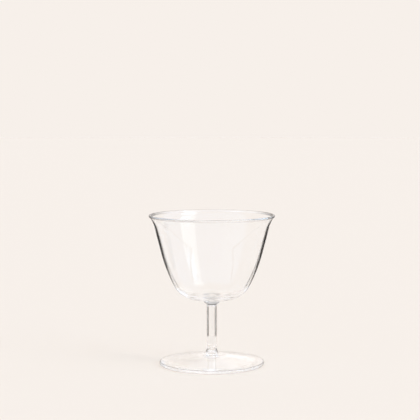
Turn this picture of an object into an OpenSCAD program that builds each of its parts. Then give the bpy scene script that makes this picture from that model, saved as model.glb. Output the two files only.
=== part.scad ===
// Coupe glass in clear flame-worked glass: a wide flared bowl, a collar seal, a hollow drawn stem,
// a flared base seal and a round foot. Every piece is turned about Z and fused hot to its neighbours.
// Millimetres. The origin is the centre of the ring that the foot stands on, and +Z is up.

/* [Whole glass] */
// Height from the table to the top of the rim
glass_h = 115.5; // [108:0.5:130]

/* [Bowl] */
// Widest diameter, over the bead on the rim
rim_d = 97; // [90:0.5:106]
// Thickness of the side wall
wall_t = 1.5; // [1.1:0.1:1.8]
// Thickness of the floor over the collar
floor_t = 3.2; // [2:0.1:5]
// Diameter of the bead that fire-polishing leaves along the rim
bead_d = 1.8; // [1.6:0.1:2.4]
// Angle from the vertical at which the lip meets the bead
lip_angle = 41; // [32:1:50]
// Radius of the outward flare below the rim, as a share of the rim's diameter
lip_r_share = 0.175; // [0.14:0.005:0.21]
// Angle of the straight side from the vertical
side_angle = 14.8; // [10:0.2:20]
// Height of the straight side, as a share of the rim's diameter
side_h_share = 0.227; // [0.17:0.005:0.26]
// Radius of the long curve under the straight side, as a share of the rim's diameter
belly_r_share = 1.145; // [1:0.005:1.25]
// Angle from the vertical at which the long curve meets the corner
belly_angle = 29; // [26:0.5:31]
// Radius of the corner between side and floor, as a share of the rim's diameter
corner_r_share = 0.19; // [0.16:0.005:0.21]
// Angle of the underside of the floor from the vertical
floor_angle = 84; // [80:0.5:88]

/* [Collar] */
// Diameter of the collar against the bowl
collar_d = 13.2; // [11:0.2:18]
// Height of the collar
collar_h = 3.4; // [2.4:0.1:5]
// Diameter of the rounded ring on the edge of the collar
collar_ring_d = 1.4; // [1:0.1:2]

/* [Stem] */
// Outer diameter of the stem tube
stem_d = 7.8; // [7:0.1:10]
// Thickness of the tube wall
stem_wall_t = 1; // [0.7:0.1:1.5]

/* [Foot] */
// Diameter of the foot
foot_d = 80.8; // [70:0.2:90]
// Thickness of the rounded edge
foot_edge_t = 2.4; // [1.8:0.1:3]
// Slope of the top of the foot
foot_slope = 10; // [8:0.5:12]
// Radius of the flare from the foot up to the stem
flare_r = 4; // [3:0.5:6]
// Width of the flat ring that the foot stands on
stand_w = 3.4; // [2:0.1:5]
// Thickness of the foot under the flare
foot_core_t = 3.4; // [2.6:0.1:4]

/* [Hidden] */
$fn = 96;

// Number of straight steps that stand for each curve of an outline
arc_steps = 8;
glass_colour = [0.92, 0.93, 0.91, 0.4];

// A point on an outline is [radius, height, angle], with the angle of the outline from the vertical.
// Going down an outline, a curve of positive radius bends inwards and one of negative radius outwards.
function along(p, r, a) = [
    p.x + r * (cos(a) - cos(p.z)),
    p.y + r * (sin(p.z) - sin(a)),
    a
];
function curve(p, r, a) = [
    for (i = [1:arc_steps]) along(p, r, p.z + (a - p.z) * i / arc_steps)
];
function down(p, h) = [p.x - h * tan(p.z), p.y - h, p.z];
function last(points) = points[len(points) - 1];
function flat(points) = [for (p = points) [p.x, p.y]];
function turned_back(points) = [for (i = [len(points) - 1:-1:0]) points[i]];

// Outside of the bowl, from the bead down to the seat of the collar
bead_r = bead_d / 2;
bead_at = [rim_d / 2 - bead_r, glass_h - bead_r];
lip_top = [
    bead_at.x + wall_t / 2 * cos(lip_angle),
    bead_at.y - wall_t / 2 * sin(lip_angle),
    lip_angle
];
lip = concat([lip_top], curve(lip_top, -lip_r_share * rim_d, side_angle));
side_end = down(last(lip), side_h_share * rim_d);
belly = concat([side_end], curve(side_end, belly_r_share * rim_d, belly_angle));
corner = curve(last(belly), corner_r_share * rim_d, floor_angle);
collar_r = collar_d / 2;
corner_end = last(corner);
seat_z = corner_end.y - (corner_end.x - collar_r) / tan(floor_angle);

// Share of the turn from the straight side to the floor at which a point lies, which thickens the wall
function turn_share(a) = max(0, (a - side_angle) / (floor_angle - side_angle));
function thickness(a) = wall_t + (floor_t - wall_t) * pow(turn_share(a), 2);
function inside(p) = [p.x - thickness(p.z) * cos(p.z), p.y + thickness(p.z) * sin(p.z)];

// Foot and base seal
foot_r = foot_d / 2;
edge_r = foot_edge_t / 2;
edge_at = [foot_r - edge_r, edge_r];
stem_r = stem_d / 2;
flare_end = 90 - foot_slope;
seal_r = stem_r + flare_r * (1 - cos(flare_end));
edge_top = [edge_at.x + edge_r * sin(foot_slope), edge_at.y + edge_r * cos(foot_slope)];
seal_z = edge_top.y + (edge_top.x - seal_r) * tan(foot_slope);
stem_z = seal_z + flare_r * sin(flare_end);
stand_r = edge_at.x - stand_w;

// Stem
collar_z = seat_z - collar_h;
stem_h = collar_z - stem_z;

module turned(points) {
    rotate_extrude()
        polygon(points);
}

module ring(at, d) {
    rotate_extrude()
        translate(at)
            circle(d = d);
}

module bowl() {
    outside = concat(lip, belly, corner);
    color(glass_colour)
        union() {
            turned(concat(
                flat(outside),
                [[collar_r, seat_z], [0, seat_z], [0, seat_z + floor_t]],
                turned_back([for (p = outside) inside(p)])
            ));
            ring(bead_at, bead_d);
        }
}

module collar() {
    ring_r = collar_ring_d / 2;
    color(glass_colour)
        union() {
            turned([
                [0, collar_z],
                [stem_r, collar_z],
                [collar_r - ring_r, seat_z - collar_ring_d],
                [collar_r - ring_r, seat_z],
                [0, seat_z]
            ]);
            ring([collar_r - ring_r, seat_z - ring_r], collar_ring_d);
        }
}

module stem() {
    color(glass_colour)
        translate([0, 0, stem_z])
            difference() {
                cylinder(r = stem_r, h = stem_h);
                cylinder(r = stem_r - stem_wall_t, h = stem_h);
            }
}

module base_seal() {
    flare = curve([stem_r, stem_z, 0], -flare_r, -flare_end);
    color(glass_colour)
        turned(concat([[0, stem_z], [stem_r, stem_z]], flat(flare), [[0, seal_z]]));
}

module foot() {
    color(glass_colour)
        union() {
            turned([
                [0, seal_z],
                [seal_r, seal_z],
                edge_top,
                edge_at,
                [edge_at.x, 0],
                [stand_r, 0],
                [seal_r, seal_z - foot_core_t],
                [0, seal_z - foot_core_t]
            ]);
            ring(edge_at, foot_edge_t);
        }
}

bowl();
collar();
stem();
base_seal();
foot();
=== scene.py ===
"""Clear flame-worked coupe glass, and the studio round it.

Each of its five fused pieces is an outline turned about the axis, in place of its plain solid.
The stem has a second outline, for its bore.
"""

import logging
import math
from dataclasses import dataclass, replace
from enum import Enum
from typing import NamedTuple

import bpy
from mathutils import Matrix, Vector


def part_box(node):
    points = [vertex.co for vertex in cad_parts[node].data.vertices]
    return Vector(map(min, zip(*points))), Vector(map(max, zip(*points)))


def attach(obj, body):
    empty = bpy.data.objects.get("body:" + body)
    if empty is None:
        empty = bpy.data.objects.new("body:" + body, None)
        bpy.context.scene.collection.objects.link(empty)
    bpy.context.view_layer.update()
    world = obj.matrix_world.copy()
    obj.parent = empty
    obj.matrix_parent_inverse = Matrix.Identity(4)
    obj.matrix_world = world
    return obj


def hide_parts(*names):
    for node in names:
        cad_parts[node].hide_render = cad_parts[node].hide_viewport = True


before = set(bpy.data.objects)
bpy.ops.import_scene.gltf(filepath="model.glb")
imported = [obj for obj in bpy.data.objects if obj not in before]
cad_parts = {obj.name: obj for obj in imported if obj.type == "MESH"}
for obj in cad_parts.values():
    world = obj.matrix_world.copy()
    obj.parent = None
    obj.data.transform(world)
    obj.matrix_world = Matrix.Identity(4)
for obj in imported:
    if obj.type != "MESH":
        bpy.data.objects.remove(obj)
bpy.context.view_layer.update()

# A point on the outline of a turned piece: radius and height in metres.
Point = tuple[float, float]
Outline = list[Point]
# What goes into an input of a node: the output of another node, or a value.
Feed = bpy.types.NodeSocket | float | tuple[float, ...]

LOG = logging.getLogger("coupe_glass")
MM = 0.001
# Points of a turned piece that lie closer than this become one.
MERGE_GAP = 0.001 * MM
# The centre of a fused face lies closer than this to the plane of its seam.
SEAM_GAP = 0.005 * MM
# Edges that turn by more than this stay sharp.
SMOOTH_ANGLE = math.radians(35)
# Ways on a round edge, in degrees from outwards, anticlockwise.
DOWN, OUTWARDS, UP, INWARDS = -90, 0, 90, 180
# The blend of a Layer Weight node at which Facing is 1 minus the cosine of the turn from the eye.
EVEN_BLEND = 0.5


class Station(NamedTuple):
    """A point on the outline of a turned piece, with the outline's angle there.

    Attributes:
        radius: Distance from the axis in metres.
        height: Height above the floor in metres.
        angle: Angle of the outline from the vertical, in radians, for someone who goes down it.
    """

    radius: float
    height: float
    angle: float


def bend(start: Station, radius: float, angle: float, steps: int) -> list[Station]:
    """Follows a round stretch of an outline downwards.

    Args:
        start: Where the stretch begins.
        radius: Radius of the stretch: positive bends inwards, negative outwards.
        angle: Angle of the outline at its end.
        steps: Number of steps along it.

    Returns:
        The stations after start, up to the end.
    """
    stations = []
    for i in range(1, steps + 1):
        a = start.angle + (angle - start.angle) * i / steps
        stations.append(
            Station(
                start.radius + radius * (math.cos(a) - math.cos(start.angle)),
                start.height + radius * (math.sin(start.angle) - math.sin(a)),
                a,
            )
        )
    return stations


def run(start: Station, height: float, steps: int) -> list[Station]:
    """Follows a straight stretch of an outline down to a height.

    Args:
        start: Where the stretch begins.
        height: Height of its end.
        steps: Number of steps along it.

    Returns:
        The stations after start, up to the end.
    """
    drop = (start.height - height) / steps
    return [
        Station(
            start.radius - i * drop * math.tan(start.angle),
            start.height - i * drop,
            start.angle,
        )
        for i in range(1, steps + 1)
    ]


def straight(start: Point, end: Point, steps: int) -> Outline:
    """Places points on a straight line.

    Args:
        start: The first point.
        end: The last point.
        steps: Number of equal steps between them.

    Returns:
        The points, both ends included.
    """
    return [
        (
            (start[0] * (steps - i) + end[0] * i) / steps,
            (start[1] * (steps - i) + end[1] * i) / steps,
        )
        for i in range(steps + 1)
    ]


def ring_arc(centre: Point, radius: float, first: float, last: float, steps: int) -> Outline:
    """Places points on a round edge, such as a bead.

    Args:
        centre: Centre of the arc.
        radius: Radius of the arc.
        first: Angle of the first point, in degrees from outwards, anticlockwise.
        last: Angle of the last point.
        steps: Number of equal steps between them.

    Returns:
        The points, both ends included.
    """
    angles = [math.radians(first + (last - first) * i / steps) for i in range(steps + 1)]
    return [(centre[0] + radius * math.cos(a), centre[1] + radius * math.sin(a)) for a in angles]


def cap(radius: float, height: float) -> Outline:
    """Starts a flat round face: a point on the axis and one halfway to the face's edge."""
    return [(0.0, height), (radius / 2, height)]


class Side(Enum):
    """Which way the faces of a turned surface point."""

    OUT = "away from the glass that the outline encloses"
    CAVITY = "into a bubble that the outline encloses"


def dot(name: str) -> bpy.types.Object:
    """Starts a piece as one point at the origin.

    Args:
        name: Name of the piece.

    Returns:
        The piece, in edit mode with its point selected.
    """
    bpy.ops.object.select_all(action="DESELECT")
    bpy.ops.mesh.primitive_plane_add(size=MM, location=(0, 0, 0))
    piece = bpy.context.object
    piece.name = piece.data.name = name
    bpy.ops.object.mode_set(mode="EDIT")
    bpy.ops.mesh.select_all(action="SELECT")
    bpy.ops.mesh.merge(type="CENTER")
    return piece


def draw_on(move: Vector) -> None:
    """Extrudes what is selected by a move."""
    bpy.ops.mesh.extrude_region_move(TRANSFORM_OT_translate={"value": move})


def turned(name: str, outline: Outline, steps: int, side: Side = Side.OUT) -> bpy.types.Object:
    """Draws an outline from pole to pole and spins it about the axis.

    Args:
        name: Name of the piece.
        outline: The outline. Both ends lie on the axis.
        steps: Number of steps of a full turn.
        side: Which way the faces point.

    Returns:
        The piece, closed and smooth, with its place in its mesh.
    """
    piece = dot(name)
    place = Vector((0, 0, 0))
    for i, (radius, height) in enumerate(outline):
        move = Vector((radius, 0, height)) - place
        place += move
        if i:
            draw_on(move)
        else:
            bpy.ops.transform.translate(value=move)
    bpy.ops.mesh.select_all(action="SELECT")
    bpy.ops.mesh.spin(steps=steps, angle=math.tau, center=(0, 0, 0), axis=(0, 0, 1))
    bpy.ops.mesh.select_all(action="SELECT")
    bpy.ops.mesh.remove_doubles(threshold=MERGE_GAP)
    bpy.ops.mesh.normals_make_consistent(inside=False)
    if side is Side.CAVITY:
        bpy.ops.mesh.flip_normals()
    bpy.ops.object.mode_set(mode="OBJECT")
    bpy.ops.object.shade_smooth_by_angle(angle=SMOOTH_ANGLE)
    return piece


def node_material(name: str) -> bpy.types.Material:
    """Makes a material with the usual nodes.

    Args:
        name: Name of the material.

    Returns:
        The material.
    """
    material = bpy.data.materials.new(name)
    material.use_nodes = True
    return material


@dataclass(frozen=True)
class NodeGraph:
    """The nodes of a material or of the sky.

    Attributes:
        tree: Their tree.
    """

    tree: bpy.types.NodeTree

    def feed(self, node: bpy.types.Node, feeds: dict[str | int, Feed]) -> None:
        """Links or sets inputs of a node.

        Args:
            node: The node.
            feeds: What goes into each input, by its name or number.
        """
        for socket, feed in feeds.items():
            if isinstance(feed, bpy.types.NodeSocket):
                self.tree.links.new(feed, node.inputs[socket])
            else:
                node.inputs[socket].default_value = feed

    def add(
        self, kind: str, feeds: dict[str | int, Feed], **settings: str | bool
    ) -> bpy.types.Node:
        """Adds a node.

        Args:
            kind: Type of the node.
            feeds: What goes into each of its inputs, by name or number.
            **settings: Its other settings, which decide what inputs it has.

        Returns:
            The node.
        """
        node = self.tree.nodes.new(kind)
        for name, setting in settings.items():
            setattr(node, name, setting)
        self.feed(node, feeds)
        return node

    def reckon(self, operation: str, *values: bpy.types.NodeSocket | float) -> bpy.types.NodeSocket:
        """Adds one sum of one or two values."""
        return self.add("ShaderNodeMath", dict(enumerate(values)), operation=operation).outputs[0]

    def ramp(
        self,
        value: bpy.types.NodeSocket,
        span: tuple[float, float],
        results: tuple[float, float] = (0.0, 1.0),
        smooth: bool = False,
    ) -> bpy.types.NodeSocket:
        """Adds a ramp that follows a value.

        Args:
            value: The value.
            span: Values at which the ramp begins and ends.
            results: What it gives up to its beginning and from its end.
            smooth: True if it eases in and out.

        Returns:
            The result.
        """
        node = self.add(
            "ShaderNodeMapRange",
            {
                "Value": value,
                "From Min": span[0],
                "From Max": span[1],
                "To Min": results[0],
                "To Max": results[1],
            },
            interpolation_type="SMOOTHSTEP" if smooth else "LINEAR",
        )
        return node.outputs["Result"]

    def facing(self) -> bpy.types.NodeSocket:
        """Adds how far the surface turns from the eye, from 0 face on to 1 edge on."""
        return self.add("ShaderNodeLayerWeight", {"Blend": EVEN_BLEND}).outputs["Facing"]

    def show(self, shader: bpy.types.NodeSocket) -> None:
        """Puts a shader in place of a material's principled one."""
        self.tree.nodes.remove(self.tree.nodes["Principled BSDF"])
        self.feed(self.tree.nodes["Material Output"], {"Surface": shader})


class DarkLine(NamedTuple):
    """A fine line of painted shade round a piece, at a joint or along a round edge.

    Attributes:
        height: Its height over the face that it is set out from, in metres.
        half: Half its thickness in metres. It fades over the outer half of that.
        depth: How deep its painted shade gets, from 0 to 1.
    """

    height: float
    half: float
    depth: float

    def over(self, height: float) -> "DarkLine":
        """Gives the line with its height counted from the floor, by the height of its face."""
        return self._replace(height=height + self.height)


@dataclass(frozen=True)
class ClearGlass:
    """Clear glass smoothed by the flame, with the faint ripple of hand work, and painted shade at
    its edges.

    Attributes:
        name: Name of the material.
        tint: Colour that one surface lets through.
        edge_colour: Colour of the painted shade at its silhouettes and in its dark lines.
        ior: Refractive index.
        ripple_size: Size of the ripples in metres, across the axis.
        ripple_stretch: How much longer the ripples are along the axis.
        ripple_depth: Depth of the ripples in metres.
        ripple_detail: Detail of the ripples' noise.
        film_fineness: How much finer than the ripples the film's patches are.
        film_detail: Detail of the film's noise.
        film_span: Values of that noise at which the film begins and is thickest.
        smear: Highest roughness, where hands and cloth have left a faint film.
        edge_from: How far a surface turns from the eye, from 0 to 1, before the painted shade at
            its edge begins.
        edge_to: How far it turns where that painted shade is deepest.
        edge_depth: How deep that painted shade gets, from 0 to 1.
        lines: Its dark lines of painted shade, with their heights above the floor.
    """

    name: str
    tint: tuple[float, float, float] = (0.999, 0.9995, 1.0)
    edge_colour: tuple[float, float, float] = (0.02, 0.021, 0.022)
    ior: float = 1.473
    ripple_size: float = 14 * MM
    ripple_stretch: float = 3.0
    ripple_depth: float = 0.004 * MM
    ripple_detail: float = 1.5
    film_fineness: float = 2.5
    film_detail: float = 4.0
    film_span: tuple[float, float] = (0.45, 0.75)
    smear: float = 0.012
    edge_from: float = 0.82
    edge_to: float = 1.0
    edge_depth: float = 0.8
    lines: tuple[DarkLine, ...] = ()

    def ripples(self, graph: NodeGraph, place: bpy.types.NodeSocket) -> bpy.types.NodeSocket:
        """Adds the ripples.

        Args:
            graph: The material's nodes.
            place: The place on the piece.

        Returns:
            The rippled normal.
        """
        stretch = graph.add(
            "ShaderNodeMapping",
            {"Vector": place, "Scale": (1.0, 1.0, 1 / self.ripple_stretch)},
        )
        noise = graph.add(
            "ShaderNodeTexNoise",
            {
                "Vector": stretch.outputs["Vector"],
                "Scale": 1 / self.ripple_size,
                "Detail": self.ripple_detail,
            },
        )
        bump = graph.add(
            "ShaderNodeBump",
            {"Strength": 1.0, "Distance": self.ripple_depth, "Height": noise.outputs["Fac"]},
        )
        return bump.outputs["Normal"]

    def film(self, graph: NodeGraph, place: bpy.types.NodeSocket) -> bpy.types.NodeSocket:
        """Adds the film of hands and cloth.

        Args:
            graph: The material's nodes.
            place: The place on the piece.

        Returns:
            The roughness.
        """
        noise = graph.add(
            "ShaderNodeTexNoise",
            {
                "Vector": place,
                "Scale": self.film_fineness / self.ripple_size,
                "Detail": self.film_detail,
            },
        )
        return graph.ramp(noise.outputs["Fac"], self.film_span, (0.0, self.smear))

    def colour(self, graph: NodeGraph, place: bpy.types.NodeSocket) -> bpy.types.NodeSocket:
        """Adds the tint, with painted shade at silhouettes and in the dark lines.

        Args:
            graph: The material's nodes.
            place: The place on the piece.

        Returns:
            The colour.
        """
        # Painted shade: the colour turns dark where the surface turns edge on to the eye, and along
        # each dark line.
        turn = (self.edge_from, self.edge_to)
        shade = graph.ramp(graph.facing(), turn, (0.0, self.edge_depth))
        for line in self.lines:
            height = graph.add("ShaderNodeSeparateXYZ", {0: place}).outputs["Z"]
            away = graph.reckon("ABSOLUTE", graph.reckon("SUBTRACT", height, line.height))
            dark = graph.ramp(away, (line.half / 2, line.half), (line.depth, 0.0))
            shade = graph.reckon("MAXIMUM", shade, dark)
        mix = graph.add(
            "ShaderNodeMix",
            {"Factor": shade, "A": (*self.tint, 1.0), "B": (*self.edge_colour, 1.0)},
            data_type="RGBA",
        )
        return mix.outputs["Result"]

    def material(self) -> bpy.types.Material:
        """Makes the material.

        Returns:
            The material, with all its patterns in Object coordinates.
        """
        glass = node_material(self.name)
        graph = NodeGraph(glass.node_tree)
        place = graph.add("ShaderNodeTexCoord", {}).outputs["Object"]
        feeds = {
            "IOR": self.ior,
            "Transmission Weight": 1.0,
            "Normal": self.ripples(graph, place),
            "Roughness": self.film(graph, place),
            "Base Color": self.colour(graph, place),
        }
        graph.feed(glass.node_tree.nodes["Principled BSDF"], feeds)
        return glass


@dataclass(frozen=True)
class FusedSeam:
    """The hot seal between two pieces, where glass runs on into glass and nothing shows.

    Attributes:
        name: Name of the material.
    """

    name: str = "fused_seam"

    def material(self) -> bpy.types.Material:
        """Makes the material.

        Returns:
            The material, which lets light pass unbent.
        """
        seam = node_material(self.name)
        graph = NodeGraph(seam.node_tree)
        graph.show(graph.add("ShaderNodeBsdfTransparent", {}).outputs["BSDF"])
        return seam


def off_axis(face: bpy.types.MeshPolygon) -> float:
    """Gives how far a face's centre lies from the axis, in metres."""
    return math.hypot(face.center.x, face.center.y)


def dress(
    piece: bpy.types.Object,
    node: str,
    finish: bpy.types.Material,
    seam: bpy.types.Material,
    seams: dict[float, float],
) -> None:
    """Gives a piece its glass and seals, and puts it in place of its CAD node.

    Args:
        piece: The piece.
        node: The CAD node that it stands for.
        finish: Its glass.
        seam: The material of its fused faces.
        seams: Radius of each fused face, by its height, in metres.
    """
    piece.data.materials.append(finish)
    piece.data.materials.append(seam)
    seam_index = len(piece.data.materials) - 1
    for face in piece.data.polygons:
        for height, radius in seams.items():
            if abs(face.center.z - height) < SEAM_GAP and off_axis(face) < radius:
                face.material_index = seam_index
    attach(piece, "root")
    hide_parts(node)
    LOG.info("%s: %d faces", piece.name, len(piece.data.polygons))


def dress_band(
    piece: bpy.types.Object,
    finish: bpy.types.Material,
    low: float,
    high: float,
    inner: float = 0.0,
) -> None:
    """Gives the faces between two heights a glass of their own.

    Args:
        piece: The piece, already dressed.
        finish: The glass of the band.
        low: Height of the band's lower edge in metres.
        high: Height of its upper edge.
        inner: Radius that its faces lie outside.
    """
    piece.data.materials.append(finish)
    band_index = len(piece.data.materials) - 1
    for face in piece.data.polygons:
        if low < face.center.z < high and off_axis(face) > inner:
            face.material_index = band_index


@dataclass
class Bowl:
    """The blown bowl: a fire-polished bead, a flared lip, a straight side and a round corner.

    Attributes:
        rim_d: Widest diameter, over the bead.
        wall: Thickness of the side.
        floor: Thickness of the floor over the collar.
        bead_d: Diameter of the bead.
        bead_overlap: How far the bead's arc runs on past each face of the wall, in degrees.
        bead_seat: Number of the wall's topmost points that the bead takes the place of.
        lip_angle: Angle from the vertical at which the lip meets the bead.
        lip_share: Radius of the flare under the bead, as a share of the rim's diameter.
        side_angle: Angle of the straight side from the vertical.
        side_share: Height of the straight side, as a share of the rim's diameter.
        belly_share: Radius of the long curve under it, as a share of the rim's diameter.
        belly_angle: Angle from the vertical at which the long curve meets the corner.
        corner_share: Radius of the corner, as a share of the rim's diameter.
        floor_angle: Angle of the floor's underside from the vertical.
        bead_steps: Number of steps round the bead.
        lip_steps: Number of steps down the flare.
        side_steps: Number of steps down the straight side.
        belly_steps: Number of steps down the long curve.
        corner_steps: Number of steps round the corner.
        floor_steps: Number of steps along each face of the floor.
        turn_steps: Number of steps of a full turn.
    """

    rim_d: float = 97 * MM
    wall: float = 1.5 * MM
    floor: float = 3.2 * MM
    bead_d: float = 1.8 * MM
    bead_overlap: float = 35
    bead_seat: int = 2
    lip_angle: float = math.radians(41)
    lip_share: float = 0.175
    side_angle: float = math.radians(14.8)
    side_share: float = 0.227
    belly_share: float = 1.145
    belly_angle: float = math.radians(29)
    corner_share: float = 0.19
    floor_angle: float = math.radians(84)
    bead_steps: int = 40
    lip_steps: int = 14
    side_steps: int = 4
    belly_steps: int = 12
    corner_steps: int = 20
    floor_steps: int = 6
    turn_steps: int = 384

    def bead_at(self) -> Point:
        """Gives the centre of the bead."""
        return self.rim_d / 2 - self.bead_d / 2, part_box("bowl")[1].z - self.bead_d / 2

    def outside(self) -> list[Station]:
        """Works out the outside, from the bead down to the edge of the collar's seat.

        Returns:
            The stations, with the last at the end of the corner.
        """
        radius, height = self.bead_at()
        start = Station(
            radius + self.wall / 2 * math.cos(self.lip_angle),
            height - self.wall / 2 * math.sin(self.lip_angle),
            self.lip_angle,
        )
        line = [start]
        line += bend(line[-1], -self.lip_share * self.rim_d, self.side_angle, self.lip_steps)
        side_end = line[-1].height - self.side_share * self.rim_d
        line += run(line[-1], side_end, self.side_steps)
        line += bend(line[-1], self.belly_share * self.rim_d, self.belly_angle, self.belly_steps)
        line += bend(line[-1], self.corner_share * self.rim_d, self.floor_angle, self.corner_steps)
        return line

    def thickness(self, angle: float) -> float:
        """Gives the wall's thickness by its angle, which grows from straight side to floor."""
        share = max(0.0, (angle - self.side_angle) / (self.floor_angle - self.side_angle))
        return self.wall + (self.floor - self.wall) * share**2

    def outline(self, seat_r: float) -> Outline:
        """Draws the outline from the middle of the underside, round the rim, to the inside.

        Args:
            seat_r: Radius of the face that is fused to the collar.

        Returns:
            The outline.
        """
        line = self.outside()
        seat_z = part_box("bowl")[0].z
        out = [(s.radius, s.height) for s in reversed(line)]
        under = cap(seat_r, seat_z) + straight((seat_r, seat_z), out[0], self.floor_steps)[:-1]
        inner = []
        for i, s in enumerate(line):
            t = self.wall if i <= self.lip_steps else self.thickness(s.angle)
            inner.append((s.radius - t * math.cos(s.angle), s.height + t * math.sin(s.angle)))
        lean = math.degrees(self.lip_angle)
        bead = ring_arc(
            self.bead_at(),
            self.bead_d / 2,
            OUTWARDS - lean - self.bead_overlap,
            INWARDS - lean + self.bead_overlap,
            self.bead_steps,
        )
        middle = straight(inner[-1], (0.0, seat_z + self.floor), self.floor_steps)[1:]
        return under + out[: -self.bead_seat] + bead + inner[self.bead_seat :] + middle

    def build(
        self,
        finish: bpy.types.Material,
        bead: bpy.types.Material,
        seam: bpy.types.Material,
        seat_r: float,
    ) -> bpy.types.Object:
        """Turns the bowl and dresses it.

        Args:
            finish: Its glass.
            bead: The glass of the bead on its rim, with deeper painted shade at its silhouettes.
            seam: The material of its fused face.
            seat_r: Radius of that face.

        Returns:
            The bowl.
        """
        low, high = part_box("bowl")
        piece = turned("bowl_glass", self.outline(seat_r), self.turn_steps)
        dress(piece, "bowl", finish, seam, {low.z: seat_r})
        dress_band(piece, bead, high.z - self.bead_d, high.z)
        # The lamp's light passes the thin wall, which would otherwise block it altogether.
        piece.visible_shadow = False
        return piece


@dataclass
class Collar:
    """The seal under the bowl: a rounded ring on a short cone.

    Attributes:
        ring_d: Diameter of the ring.
        ring_from: Where the ring's round edge leaves the cone, in degrees from outwards.
        stem_line: Line of painted shade at the joint to the stem, set out from the collar's lower
            face.
        neck_line: Line of painted shade under the ring, set out from the collar's upper face.
        seat_line: Line of painted shade at the joint to the bowl, set out from the collar's upper
            face.
        cone_steps: Number of steps along the cone.
        ring_steps: Number of steps round the ring.
        turn_steps: Number of steps of a full turn.
    """

    ring_d: float = 1.4 * MM
    ring_from: float = -50
    stem_line: DarkLine = DarkLine(0.4 * MM, 0.9 * MM, 0.97)
    neck_line: DarkLine = DarkLine(-1.5 * MM, 0.3 * MM, 0.9)
    seat_line: DarkLine = DarkLine(-0.1 * MM, 0.6 * MM, 0.97)
    cone_steps: int = 4
    ring_steps: int = 20
    turn_steps: int = 256

    def seat_r(self) -> float:
        """Gives the radius of the face that is fused to the bowl."""
        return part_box("collar")[1].x - self.ring_d / 2

    def lines(self) -> tuple[DarkLine, ...]:
        """Gives its lines of painted shade, with their heights above the floor."""
        low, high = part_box("collar")
        return self.stem_line.over(low.z), self.neck_line.over(high.z), self.seat_line.over(high.z)

    def build(self, finish: bpy.types.Material, seam: bpy.types.Material) -> bpy.types.Object:
        """Turns the collar and dresses it.

        Args:
            finish: Its glass.
            seam: The material of its fused faces.

        Returns:
            The collar.
        """
        low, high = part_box("collar")
        stem_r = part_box("stem")[1].x
        ring_r = self.ring_d / 2
        ring_at = (high.x - ring_r, high.z - ring_r)
        ring = ring_arc(ring_at, ring_r, self.ring_from, UP, self.ring_steps)
        cone = straight((stem_r, low.z), ring[0], self.cone_steps)[:-1]
        outline = cap(stem_r, low.z) + cone + ring + cap(self.seat_r(), high.z)[::-1]
        piece = turned("collar_glass", outline, self.turn_steps)
        dress(piece, "collar", finish, seam, {low.z: stem_r, high.z: self.seat_r()})
        return piece


@dataclass
class Stem:
    """The drawn stem, with its bore sealed by the collar above and the base seal below.

    Attributes:
        wall: Thickness of the tube's wall.
        plug: Thickness of the glass that closes each end of the bore.
        end_r: Radius of the round edge at each end of the bore.
        end_steps: Number of steps round that edge.
        side_steps: Number of steps along the tube, inside and outside.
        turn_steps: Number of steps of a full turn.
    """

    wall: float = 1.0 * MM
    plug: float = 0.3 * MM
    end_r: float = 1.1 * MM
    end_steps: int = 12
    side_steps: int = 12
    turn_steps: int = 256

    def bore(self) -> Outline:
        """Draws the bore, with its rounded ends.

        Returns:
            Its outline.
        """
        low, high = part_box("stem")
        flat_r = high.x - self.wall - self.end_r
        bottom, top = low.z + self.plug, high.z - self.plug
        lower_at, upper_at = (flat_r, bottom + self.end_r), (flat_r, top - self.end_r)
        lower = ring_arc(lower_at, self.end_r, DOWN, OUTWARDS, self.end_steps)
        upper = ring_arc(upper_at, self.end_r, OUTWARDS, UP, self.end_steps)
        side = straight(lower[-1], upper[0], self.side_steps)[1:-1]
        return cap(flat_r, bottom) + lower + side + upper + cap(flat_r, top)[::-1]

    def build(self, finish: bpy.types.Material, seam: bpy.types.Material) -> bpy.types.Object:
        """Turns the stem and its bore and dresses them as one piece.

        Args:
            finish: Its glass.
            seam: The material of its fused faces.

        Returns:
            The stem.
        """
        low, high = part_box("stem")
        radius = high.x
        side = straight((radius, low.z), (radius, high.z), self.side_steps)
        outline = cap(radius, low.z) + side + cap(radius, high.z)[::-1]
        rod = turned("stem_glass", outline, self.turn_steps)
        dress(rod, "stem", finish, seam, {low.z: radius, high.z: radius})
        bore = turned("bore", self.bore(), self.turn_steps, Side.CAVITY)
        bore.data.materials.append(finish)
        bpy.ops.object.select_all(action="DESELECT")
        bore.select_set(True)
        rod.select_set(True)
        bpy.context.view_layer.objects.active = rod
        bpy.ops.object.join()
        return rod


@dataclass
class BaseSeal:
    """The flared seal between stem and foot.

    Attributes:
        flare_steps: Number of steps down the flare.
        turn_steps: Number of steps of a full turn.
    """

    flare_steps: int = 20
    turn_steps: int = 256

    def build(
        self,
        finish: bpy.types.Material,
        skirt: bpy.types.Material,
        seam: bpy.types.Material,
    ) -> bpy.types.Object:
        """Turns the flare and dresses it.

        Args:
            finish: Its glass.
            skirt: The glass of its lower half, which runs out into the foot.
            seam: The material of its fused faces.

        Returns:
            The flared seal.
        """
        low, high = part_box("base_seal")
        stem_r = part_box("stem")[1].x
        width, drop = high.x - stem_r, high.z - low.z
        # The flare is an arc that starts upright, and its width and drop give its radius and end.
        radius = (width**2 + drop**2) / (2 * width)
        end = -math.acos(1 - width / radius)
        start = Station(stem_r, high.z, 0.0)
        line = [start] + bend(start, -radius, end, self.flare_steps)
        flare = [(s.radius, s.height) for s in reversed(line)]
        outline = cap(high.x, low.z) + flare + cap(stem_r, high.z)[::-1]
        piece = turned("base_seal_glass", outline, self.turn_steps)
        dress(piece, "base_seal", finish, seam, {low.z: high.x, high.z: stem_r})
        dress_band(piece, skirt, low.z + SEAM_GAP, line[self.flare_steps // 2].height)
        return piece


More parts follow.
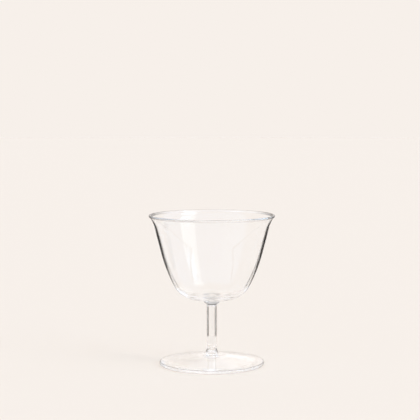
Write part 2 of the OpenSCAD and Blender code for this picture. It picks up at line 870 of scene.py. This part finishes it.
@dataclass
class Foot:
    """The foot: a shallow cone with a round edge, slightly hollow under its standing ring.

    Attributes:
        edge_t: Thickness of the round edge.
        slope: Slope of the top.
        stand_w: Width of the flat ring that it stands on.
        core_t: Thickness under the flared seal.
        rolled_line: Line of painted shade along the top of the round edge, set out from the foot's
            underside.
        hollow_steps: Number of steps down the hollow.
        edge_steps: Number of steps round the edge.
        top_steps: Number of steps up the top.
        turn_steps: Number of steps of a full turn.
    """

    edge_t: float = 2.4 * MM
    slope: float = math.radians(10)
    stand_w: float = 3.4 * MM
    core_t: float = 3.4 * MM
    rolled_line: DarkLine = DarkLine(2.34 * MM, 0.12 * MM, 0.85)
    hollow_steps: int = 6
    edge_steps: int = 28
    top_steps: int = 10
    turn_steps: int = 768

    def lines(self) -> tuple[DarkLine, ...]:
        """Gives its line of painted shade, with its height above the floor."""
        return (self.rolled_line.over(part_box("foot")[0].z),)

    def build(
        self,
        finish: bpy.types.Material,
        edge_glass: bpy.types.Material,
        seam: bpy.types.Material,
    ) -> bpy.types.Object:
        """Turns the foot and dresses it.

        Args:
            finish: Its glass.
            edge_glass: The glass of its round edge, with deeper painted shade at its silhouettes.
            seam: The material of its fused face.

        Returns:
            The foot.
        """
        low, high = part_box("foot")
        seal_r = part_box("base_seal")[1].x
        edge_r = self.edge_t / 2
        edge_at = (high.x - edge_r, low.z + edge_r)
        core_z = high.z - self.core_t
        edge_end = UP - math.degrees(self.slope)
        stand = (edge_at[0] - self.stand_w, low.z)
        hollow = straight((seal_r, core_z), stand, self.hollow_steps)
        edge = ring_arc(edge_at, edge_r, DOWN, edge_end, self.edge_steps)
        top = straight(edge[-1], (seal_r, high.z), self.top_steps)[1:]
        outline = cap(seal_r, core_z) + hollow + edge + top + cap(seal_r, high.z)[::-1]
        piece = turned("foot_glass", outline, self.turn_steps)
        dress(piece, "foot", finish, seam, {high.z: seal_r})
        dress_band(piece, edge_glass, low.z, low.z + self.edge_t, edge_at[0])
        # The lamp's light passes the thin foot too.
        piece.visible_shadow = False
        return piece


@dataclass(frozen=True)
class Panel:
    """A soft-edged panel of light on the sky.

    Attributes:
        azimuths: Its sides, in degrees to the right of the front, or to the left of the back.
        elevations: Elevations of its lower and upper edge, in degrees.
        light: Light that it adds to the backdrop's, linear.
        feather: Width of its soft edges, in degrees.
        behind: True if its sides are counted from the back.
    """

    azimuths: tuple[float, float]
    elevations: tuple[float, float]
    light: tuple[float, float, float]
    feather: float = 4
    behind: bool = False

    def edges(self, ends: tuple[float, float]) -> list[tuple[float, float]]:
        """Gives where its two soft edges begin and end, in degrees."""
        return [(e - self.feather / 2, e + self.feather / 2) for e in ends]


@dataclass(frozen=True)
class Sky:
    """Light from all round: a warm pale backdrop, with soft panels of light before it.

    Attributes:
        panels: The panels.
        backdrop: Colour of the floor and backdrop, linear.
    """

    panels: tuple[Panel, ...]
    backdrop: tuple[float, float, float] = (0.9301, 0.8714, 0.8228)

    @staticmethod
    def ease(value: float, ends: tuple[float, float]) -> float:
        """Rises smoothly from 0 to 1 between two ends, as the ramps of the nodes do."""
        t = min(1.0, max(0.0, (value - ends[0]) / (ends[1] - ends[0])))
        return t * t * (3 - 2 * t)

    def within(self, value: float, edges: list[tuple[float, float]]) -> float:
        """Gives how far a value lies within a soft-edged band, from 0 to 1."""
        return self.ease(value, edges[0]) - self.ease(value, edges[1])

    def floor_tint(self, lamp: tuple[float, ...]) -> tuple[float, ...]:
        """Works out the floor's colour for which the lit floor looks like the backdrop.

        Args:
            lamp: Light that a white floor would take from the lamp, linear.

        Returns:
            The floor's own colour, linear.
        """
        total = [b + k for b, k in zip(self.backdrop, lamp)]
        for panel in self.panels:
            sides, ends = panel.edges(panel.azimuths), panel.edges(panel.elevations)
            # Each strip of one degree counts by its middle. Of the light at an elevation, a level
            # floor takes the sine, and a strip round the sky there is shorter by the cosine.
            width = sum(self.within(degree + 0.5, sides) for degree in range(-180, 180))
            height = sum(
                self.within(degree + 0.5, ends) * math.sin(math.radians(2 * degree + 1)) / 2
                for degree in range(90)
            )
            share = width * height * math.radians(1) ** 2 / math.pi
            total = [t + share * light for t, light in zip(total, panel.light)]
        return tuple(b / t for b, t in zip(self.backdrop, total))

    @staticmethod
    def band(
        graph: NodeGraph, value: bpy.types.NodeSocket, edges: list[tuple[float, float]]
    ) -> bpy.types.NodeSocket:
        """Adds a soft-edged band of an angle.

        Args:
            graph: The sky's nodes.
            value: The angle, in radians.
            edges: Where its two soft edges begin and end, in degrees.

        Returns:
            1 within the band and 0 outside it.
        """
        rise, fall = (
            graph.ramp(value, (math.radians(low), math.radians(high)), smooth=True)
            for low, high in edges
        )
        return graph.reckon("SUBTRACT", rise, fall)

    def build(self) -> None:
        """Makes the sky."""
        world = bpy.data.worlds.new("studio")
        bpy.context.scene.world = world
        # The floor finds the sky by its own bounces alone, so that it isn't counted twice through
        # bowl and foot.
        world.cycles.sampling_method = "NONE"
        world.use_nodes = True
        graph = NodeGraph(world.node_tree)
        way = graph.add("ShaderNodeNewGeometry", {}).outputs["Position"]
        split = graph.add("ShaderNodeSeparateXYZ", {0: way})
        x, y, z = (split.outputs[axis] for axis in "XYZ")
        elevation = graph.reckon("ARCSINE", z)
        from_front = graph.reckon("ARCTAN2", x, graph.reckon("MULTIPLY", y, -1.0))
        from_back = graph.reckon("ARCTAN2", graph.reckon("MULTIPLY", x, -1.0), y)
        colour: Feed = (*self.backdrop, 1.0)
        for panel in self.panels:
            azimuth = from_back if panel.behind else from_front
            across = self.band(graph, azimuth, panel.edges(panel.azimuths))
            tall = self.band(graph, elevation, panel.edges(panel.elevations))
            share = graph.reckon("MULTIPLY", across, tall)
            lit = graph.add(
                "ShaderNodeMix",
                {"Factor": share, "A": colour, "B": (*panel.light, 1.0)},
                data_type="RGBA",
                blend_type="ADD",
                clamp_result=False,
            )
            colour = lit.outputs["Result"]
        graph.feed(world.node_tree.nodes["Background"], {"Color": colour})


PANELS = (
    # The room in front of the glass, and its brighter left side.
    Panel((-82, 122), (10, 62), (0.1, 0.29, 0.58), 20),
    Panel((-80, -26), (16, 42), (0.15, 0.17, 0.15), 14),
    # The softbox on the right, with its bright middle, and the reflector over it.
    Panel((38, 72), (10, 43), (1.0, 1.2, 1.15), 7),
    Panel((49, 70), (24, 42), (0.1, 0.5, 1.0), 10),
    Panel((42, 82), (45, 64), (1.5, 1.8, 1.9), 6),
    # The back wall over the table, which the foot reflects, and under it a shade on the left and a
    # light on the right.
    Panel((-40, 40), (28, 55), (0.14, 0.22, 0.32), 8, behind=True),
    Panel((2, 60), (7, 22), (-0.3, -0.28, -0.24), 4, behind=True),
    Panel((-24, -1), (7, 30), (0.2, 0.2, 0.22), 4, behind=True),
)


@dataclass(frozen=True)
class Flag:
    """A black or grey card on the table, seen only through and in the glass.

    Attributes:
        azimuths: Its two ends, in degrees anticlockwise from the right, seen from above.
        radii: How far it begins and ends from the axis, in metres.
        wall: Height of the wall at its far edge, in metres.
        slats: Angles above the table, in degrees, between which a slatted card looks dark. Seen
            from any other angle it is clear. None for a plain card.
        mirrored: True if it also shows in reflections.
        light: How light it looks, as a share of the backdrop's light.
    """

    azimuths: tuple[float, float]
    radii: tuple[float, float]
    wall: float = 0.0
    slats: tuple[float, float] | None = None
    mirrored: bool = True
    light: float = 0.03


@dataclass
class Studio:
    """The floor, the light, the flags and the camera.

    Attributes:
        sky: The light from all round.
        floor_r: Radius of the floor in metres.
        floor_sides: Number of its sides.
        floor_z: Its height, a hair under the foot.
        key_way: The lamp's place, in degrees to the right of the front and above the floor.
        key_spread: Angle that the lamp spans.
        key_power: Power of the lamp.
        key_colour: Colour of the lamp, linear.
        flag_z: Height of the flags in metres.
        flag_step: Length of a step along a flag's round sides, in degrees.
        slat_feather: Half the width of the slats' soft edges, in degrees.
        sensor: Width of the camera's sensor in millimetres.
        focal: Focal length in millimetres.
        clip: Nearest and farthest distance that the camera sees, in metres.
        eye: Place of the camera in metres.
        eye_drop: How far the camera looks down, in degrees.
        glass_bounces: Most bounces of a light path, and most through glass.
        mirror_bounces: Most reflections.
        clear_bounces: Most seams and slatted flags that a light path passes.
        floor_bounces: Most bounces off the floor.
    """

    sky: Sky
    floor_r: float = 6.0
    floor_sides: int = 96
    floor_z: float = -0.1 * MM
    key_way: tuple[float, float] = (70, 27)
    key_spread: float = math.radians(20)
    key_power: float = 0.9
    key_colour: tuple[float, float, float] = (1.0, 0.95, 0.9)
    flag_z: float = 0.3 * MM
    flag_step: float = 3
    slat_feather: float = 1.5
    sensor: float = 36
    focal: float = 110.3
    clip: tuple[float, float] = (0.05, 50)
    eye: tuple[float, float, float] = (-1.4 * MM, -981.4 * MM, 203.2 * MM)
    eye_drop: float = 4.9
    glass_bounces: int = 250
    mirror_bounces: int = 135
    clear_bounces: int = 24
    floor_bounces: int = 4

    def key_light(self) -> tuple[float, ...]:
        """Gives the light that a white floor takes from the lamp, linear."""
        light = self.key_power * math.sin(math.radians(self.key_way[1])) / math.pi
        return tuple(light * c for c in self.key_colour)

    def floor(self) -> None:
        """Lays the pale floor."""
        paper = node_material("warm_paper")
        tint = self.sky.floor_tint(self.key_light())
        NodeGraph(paper.node_tree).feed(
            paper.node_tree.nodes["Principled BSDF"],
            {"Base Color": (*tint, 1.0), "Roughness": 1.0, "Specular IOR Level": 0.0},
        )
        bpy.ops.object.select_all(action="DESELECT")
        bpy.ops.mesh.primitive_circle_add(
            vertices=self.floor_sides,
            radius=self.floor_r,
            fill_type="NGON",
            location=(0, 0, self.floor_z),
        )
        floor = bpy.context.object
        floor.name = "floor"
        floor.data.materials.append(paper)

    def key(self) -> None:
        """Sets the far lamp on the right, which lights only the table and draws the soft shadow."""
        lamp = bpy.data.lights.new("key", "SUN")
        lamp.angle = self.key_spread
        lamp.energy = self.key_power
        lamp.color = self.key_colour
        key = bpy.data.objects.new("key", lamp)
        azimuth, elevation = (math.radians(a) for a in self.key_way)
        level = math.cos(elevation)
        way = Vector((math.sin(azimuth) * level, -math.cos(azimuth) * level, math.sin(elevation)))
        key.location = way
        key.rotation_euler = way.to_track_quat("Z", "Y").to_euler()
        key.visible_camera = key.visible_glossy = key.visible_transmission = False
        bpy.context.collection.objects.link(key)

    def flag_material(self, flag: Flag) -> bpy.types.Material:
        """Makes the black or grey of a flag.

        Args:
            flag: The flag.

        Returns:
            The material.
        """
        material = node_material("slatted_flag" if flag.slats else "flag")
        graph = NodeGraph(material.node_tree)
        colour = (*(flag.light * b for b in self.sky.backdrop), 1.0)
        shader = graph.add("ShaderNodeEmission", {"Color": colour}).outputs[0]
        # The card is clear to lower sight lines than the first angle, and to higher ones than the
        # second.
        for edge, angle in enumerate(flag.slats or ()):
            span = tuple(
                1 - math.sin(math.radians(angle + side * self.slat_feather)) for side in (1, -1)
            )
            dark = graph.ramp(graph.facing(), span, (1.0 - edge, float(edge)))
            clear = graph.add("ShaderNodeBsdfTransparent", {}).outputs["BSDF"]
            mix = graph.add("ShaderNodeMixShader", {"Fac": dark, 1: clear, 2: shader})
            shader = mix.outputs[0]
        graph.show(shader)
        return material

    def lay(self, flag: Flag) -> None:
        """Lays one flag.

        Args:
            flag: The flag.
        """
        card = dot(f"flag_{flag.azimuths[0]:.0f}_{flag.radii[0] / MM:.0f}")
        first, last = (math.radians(a) for a in flag.azimuths)
        way = Vector((math.cos(first), math.sin(first), 0))
        bpy.ops.transform.translate(value=way * flag.radii[0] + Vector((0, 0, self.flag_z)))
        draw_on(way * (flag.radii[1] - flag.radii[0]))
        if flag.wall:
            draw_on(Vector((0, 0, flag.wall)))
        bpy.ops.mesh.select_all(action="SELECT")
        # The spin goes clockwise about an axis that points up, so its axis points down here.
        bpy.ops.mesh.spin(
            steps=round((flag.azimuths[1] - flag.azimuths[0]) / self.flag_step),
            angle=last - first,
            center=(0, 0, 0),
            axis=(0, 0, -1),
        )
        bpy.ops.object.mode_set(mode="OBJECT")
        card.data.materials.append(self.flag_material(flag))
        card.visible_camera = card.visible_diffuse = card.visible_shadow = False
        card.visible_glossy = flag.mirrored

    def camera(self) -> None:
        """Places the camera at the photo's height and distance."""
        lens = bpy.data.cameras.new("camera")
        lens.sensor_width = self.sensor
        lens.lens = self.focal
        lens.clip_start, lens.clip_end = self.clip
        eye = bpy.data.objects.new("camera", lens)
        eye.location = self.eye
        eye.rotation_euler = (math.radians(90 - self.eye_drop), 0, 0)
        bpy.context.collection.objects.link(eye)
        bpy.context.scene.camera = eye

    def light_paths(self) -> None:
        """Lets light pass as many faces as the glass has, and shows its colours as they are."""
        scene = bpy.context.scene
        scene.view_settings.view_transform = "Standard"
        scene.view_settings.look = "None"
        scene.cycles.max_bounces = self.glass_bounces
        scene.cycles.transmission_bounces = self.glass_bounces
        scene.cycles.glossy_bounces = self.mirror_bounces
        scene.cycles.transparent_max_bounces = self.clear_bounces
        scene.cycles.diffuse_bounces = self.floor_bounces
        scene.cycles.caustics_reflective = scene.cycles.caustics_refractive = True
        scene.cycles.blur_glossy = 0.0
        scene.cycles.sample_clamp_indirect = 0

    def build(self, flags: list[Flag]) -> None:
        """Sets up the studio.

        Args:
            flags: The flags to lay.
        """
        self.sky.build()
        self.floor()
        self.key()
        for flag in flags:
            self.lay(flag)
        self.camera()
        self.light_paths()


FLAGS = [
    # On both sides of the back, seen from the front.
    Flag((46, 74), (0.115, 0.3), slats=(0, 17.5)),
    Flag((46, 74), (0.3, 0.65), slats=(0, 15.5)),
    Flag((106, 134), (0.115, 0.3), slats=(0, 17.5)),
    Flag((106, 134), (0.3, 0.65), slats=(0, 15.5)),
    Flag((50, 66), (0.9, 1.5), 0.05),
    Flag((114, 130), (0.9, 1.5), 0.05),
    # On both sides of the back left, seen from the front right.
    Flag((96, 112), (0.16, 0.34), slats=(22, 38), mirrored=False),
    Flag((158, 174), (0.16, 0.34), slats=(22, 38), mirrored=False),
    # On both sides of the left, seen from the right.
    Flag((140, 164), (0.5, 1.5), 0.05),
    Flag((196, 220), (0.5, 1.5), 0.05),
    # On both sides of the front right, seen from the back left.
    Flag((277, 295), (0.15, 0.45), slats=(0, 25)),
    Flag((335, 353), (0.15, 0.45), slats=(0, 25)),
    # A light grey card close behind the foot, seen only through the glass: painted shadow on the
    # table there.
    Flag((60, 120), (0.078, 0.115), slats=(0, 16), mirrored=False, light=0.95),
]


def main() -> None:
    """Builds the coupe glass piece by piece, then the studio."""
    logging.basicConfig(level=logging.INFO, format="%(name)s %(message)s")
    bowl, collar, stem, base_seal, foot = Bowl(), Collar(), Stem(), BaseSeal(), Foot()
    # Every glass below darkens towards its silhouettes: painted shade, deepest on the bead, the
    # collar, the flare and the foot's round edge.
    blown = ClearGlass("blown_glass")
    polished = replace(blown, name="polished_bead", edge_from=0.35, edge_to=0.75, edge_depth=0.97)
    worked = ClearGlass(
        "worked_glass",
        ripple_size=9 * MM,
        ripple_stretch=1.0,
        edge_from=0.1,
        edge_to=0.6,
        edge_depth=0.97,
    )
    # The collar's glass adds lines of painted shade at its joints and under its ring.
    sealed = replace(
        worked, name="sealed_glass", edge_from=0.25, edge_to=0.75, lines=collar.lines()
    )
    drawn = ClearGlass(
        "drawn_glass",
        ripple_size=4 * MM,
        ripple_stretch=8.0,
        ripple_depth=0.003 * MM,
        edge_from=0.92,
    )
    pressed = ClearGlass(
        "pressed_glass",
        ripple_size=30 * MM,
        ripple_stretch=1.0,
        ripple_depth=0.003 * MM,
        edge_from=0.84,
        edge_depth=0.95,
    )
    # The foot's round edge adds a line of painted shade along its top.
    rounded = replace(
        pressed,
        name="rounded_edge",
        edge_from=0.5,
        edge_to=0.9,
        edge_depth=0.97,
        lines=foot.lines(),
    )
    seam = FusedSeam().material()
    finishes = (blown, polished, worked, sealed, drawn, pressed, rounded)
    glass = {finish: finish.material() for finish in finishes}
    bowl.build(glass[blown], glass[polished], seam, collar.seat_r())
    collar.build(glass[sealed], seam)
    stem.build(glass[drawn], seam)
    base_seal.build(glass[worked], glass[pressed], seam)
    foot.build(glass[pressed], glass[rounded], seam)
    Studio(Sky(PANELS)).build(FLAGS)


if __name__ == "__main__":
    main()
